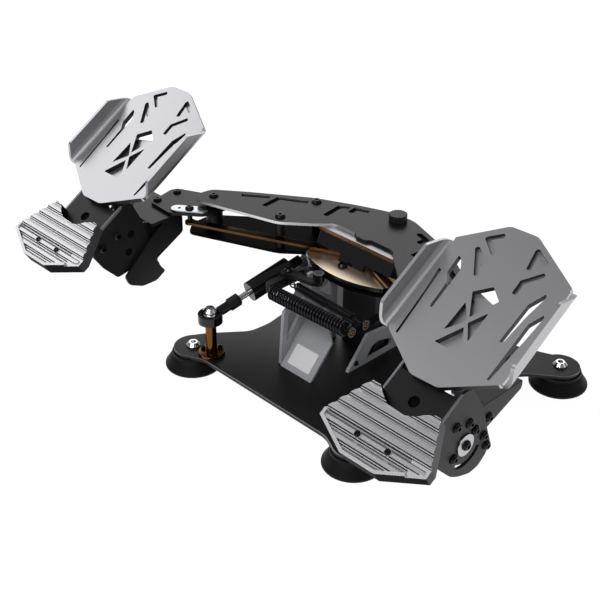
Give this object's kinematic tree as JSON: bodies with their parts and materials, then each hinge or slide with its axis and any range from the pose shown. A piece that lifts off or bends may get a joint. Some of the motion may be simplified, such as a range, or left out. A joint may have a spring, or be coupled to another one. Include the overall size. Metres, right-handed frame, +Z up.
{
  "type": "flight simulator rudder pedals",
  "caption": "Desktop flight simulator rudder pedals: turning arm on a suction-footed base, two slotted pedals with toe brakes and ribbed heel rests, tie rods, damper and springs",
  "frame": {"origin": "middle of the floor area, on the floor: half way across, half way from the heel rests' tips to the backs of the rear feet", "axes": "+X to the user's right, +Y away from the user, +Z up"},
  "size_m": [0.548, 0.3671, 0.2348],
  "materials": {
    "satin_black": "satin black powder coat",
    "rubber": "moulded black rubber",
    "chrome": "polished chrome plate",
    "tower_grey": "satin light grey paint",
    "label_white": "bare printed film, lettering left off",
    "housing_black": "fine grained black plastic",
    "steel": "turned steel",
    "screw_black": "black oxide steel",
    "brass": "turned brass",
    "board_green": "solder mask over glass fibre",
    "spring_black": "black coated spring wire",
    "champagne": "champagne anodised aluminium",
    "gloss_black": "gloss black",
    "bronze": "bronze anodised aluminium",
    "pedal_silver": "blasted and anodised aluminium"
  },
  "bodies": {
    "base": {"base_plate": "satin_black", "feet": "rubber", "foot_screws": "chrome", "tower_left_plate": "tower_grey", "tower_right_plate": "tower_grey", "label_ramp": "tower_grey", "label": "label_white", "housing": "housing_black", "yaw_shaft": "steel", "link_anchor": "steel", "tower_screws": "screw_black", "damper_post": "brass", "post_bolt": "chrome", "spring_anchor": "satin_black", "anchor_pins": "brass", "circuit_board": "board_green", "lever_post": "steel", "main_spring": "spring_black", "thin_spring": "spring_black"},
    "arm": {"arm_top_plate": "satin_black", "arm_bottom_plate": "satin_black", "upper_gold_plate": "champagne", "lower_gold_plate": "champagne", "front_wall": "gloss_black", "arm_spacers": "satin_black", "arm_screws": "screw_black", "shaft_bearings": "steel"},
    "knob": {"thumb_knob": "housing_black"},
    "lever": {"follower_lever": "satin_black", "lever_screws": "screw_black"},
    "roller": {"cam_roller": "screw_black"},
    "damper_rod": {"rod_end": "gloss_black", "damper_rod": "chrome"},
    "damper_cylinder": {"damper_cylinder": "gloss_black"},
    "left_carriage": {"left_carriage": "satin_black", "left_link_plate": "satin_black", "left_link_insert": "steel", "left_link_screws": "screw_black"},
    "left_tie_rod": {"left_tie_rod": "bronze"},
    "left_bracket": {"left_pedal_bracket": "satin_black", "left_bracket_screws": "screw_black", "left_pivot_washers": "steel", "left_heel_rest": "pedal_silver", "left_brake_spring": "spring_black"},
    "left_pedal": {"left_brake_lever": "pedal_silver", "left_pedal_plate": "pedal_silver", "left_plate_screws": "screw_black"},
    "right_carriage": {"right_carriage": "satin_black", "right_link_plate": "satin_black", "right_link_insert": "steel", "right_link_screws": "screw_black"},
    "right_tie_rod": {"right_tie_rod": "bronze"},
    "right_bracket": {"right_pedal_bracket": "satin_black", "right_bracket_screws": "screw_black", "right_pivot_washers": "steel", "right_heel_rest": "pedal_silver", "right_brake_spring": "spring_black"},
    "right_pedal": {"right_brake_lever": "pedal_silver", "right_pedal_plate": "pedal_silver", "right_plate_screws": "screw_black"}
  },
  "joints": [
    {"name": "yaw", "type": "hinge", "parent": "base", "child": "arm", "pos_m": [0, 0.07279, 0.12], "axis": [0, 0, 1], "range_deg": [-10, 10], "stiffness_Nm_per_rad": 2.5},
    {"name": "knob_turn", "type": "hinge", "parent": "arm", "child": "knob", "pos_m": [0, 0.09479, 0.14], "axis": [0, 0, 1], "continuous": true},
    {"name": "lever_swing", "type": "hinge", "parent": "base", "child": "lever", "pos_m": [-0.034, 0.01779, 0.095], "axis": [0, 0, 1], "range_deg": [-6, 0], "stiffness_Nm_per_rad": 2, "deforming": ["main_spring", "thin_spring"]},
    {"name": "roller_spin", "type": "hinge", "parent": "lever", "child": "roller", "pos_m": [-0.012, -0.00081, 0.108], "axis": [0, 0, 1], "continuous": true},
    {"name": "damper_swing", "type": "hinge", "parent": "base", "child": "damper_rod", "pos_m": [-0.0858, -0.07321, 0.062], "axis": [0, 0, 1], "range_deg": [-6, 6]},
    {"name": "damper_stroke", "type": "slide", "parent": "damper_rod", "child": "damper_cylinder", "axis": [0.1438, 0.9509, 0.274], "range_m": [-0.0112, 0.0112]},
    {"name": "left_carriage_turn", "type": "hinge", "parent": "arm", "child": "left_carriage", "pos_m": [-0.16395, 0.00109, 0.12], "axis": [0, 0, 1], "range_deg": [-10.5, 10.5]},
    {"name": "left_rod_turn", "type": "hinge", "parent": "base", "child": "left_tie_rod", "pos_m": [-0.006, 0.04589, 0.1165], "axis": [0, 0, 1], "range_deg": [-10.5, 10.5]},
    {"name": "left_tilt", "type": "hinge", "parent": "left_carriage", "child": "left_bracket", "pos_m": [-0.21, -0.09609, 0.10523], "axis": [1, 0, 0], "range_deg": [-6, 6]},
    {"name": "left_toe_brake", "type": "hinge", "parent": "left_bracket", "child": "left_pedal", "pos_m": [-0.21, -0.09197, 0.12293], "axis": [-1, 0, 0], "range_deg": [0, 18], "stiffness_Nm_per_rad": 4, "springref_deg": -5.73, "deforming": ["left_brake_spring"]},
    {"name": "right_carriage_turn", "type": "hinge", "parent": "arm", "child": "right_carriage", "pos_m": [0.16395, 0.00109, 0.12], "axis": [0, 0, 1], "range_deg": [-10.5, 10.5]},
    {"name": "right_rod_turn", "type": "hinge", "parent": "base", "child": "right_tie_rod", "pos_m": [0.006, 0.04589, 0.1165], "axis": [0, 0, 1], "range_deg": [-10.5, 10.5]},
    {"name": "right_tilt", "type": "hinge", "parent": "right_carriage", "child": "right_bracket", "pos_m": [0.21, -0.09609, 0.10523], "axis": [1, 0, 0], "range_deg": [-6, 6]},
    {"name": "right_toe_brake", "type": "hinge", "parent": "right_bracket", "child": "right_pedal", "pos_m": [0.21, -0.09197, 0.12293], "axis": [-1, 0, 0], "range_deg": [0, 18], "stiffness_Nm_per_rad": 4, "springref_deg": -5.73, "deforming": ["right_brake_spring"]}
  ],
  "couplings": [
    {"joint": "damper_swing", "follows": "yaw", "ratio": -0.494},
    {"joint": "damper_stroke", "follows": "yaw", "m_per_rad": -0.0606},
    {"joint": "left_carriage_turn", "follows": "yaw", "ratio": -1},
    {"joint": "left_rod_turn", "follows": "yaw", "ratio": 1},
    {"joint": "right_carriage_turn", "follows": "yaw", "ratio": -1},
    {"joint": "right_rod_turn", "follows": "yaw", "ratio": 1}
  ]
}
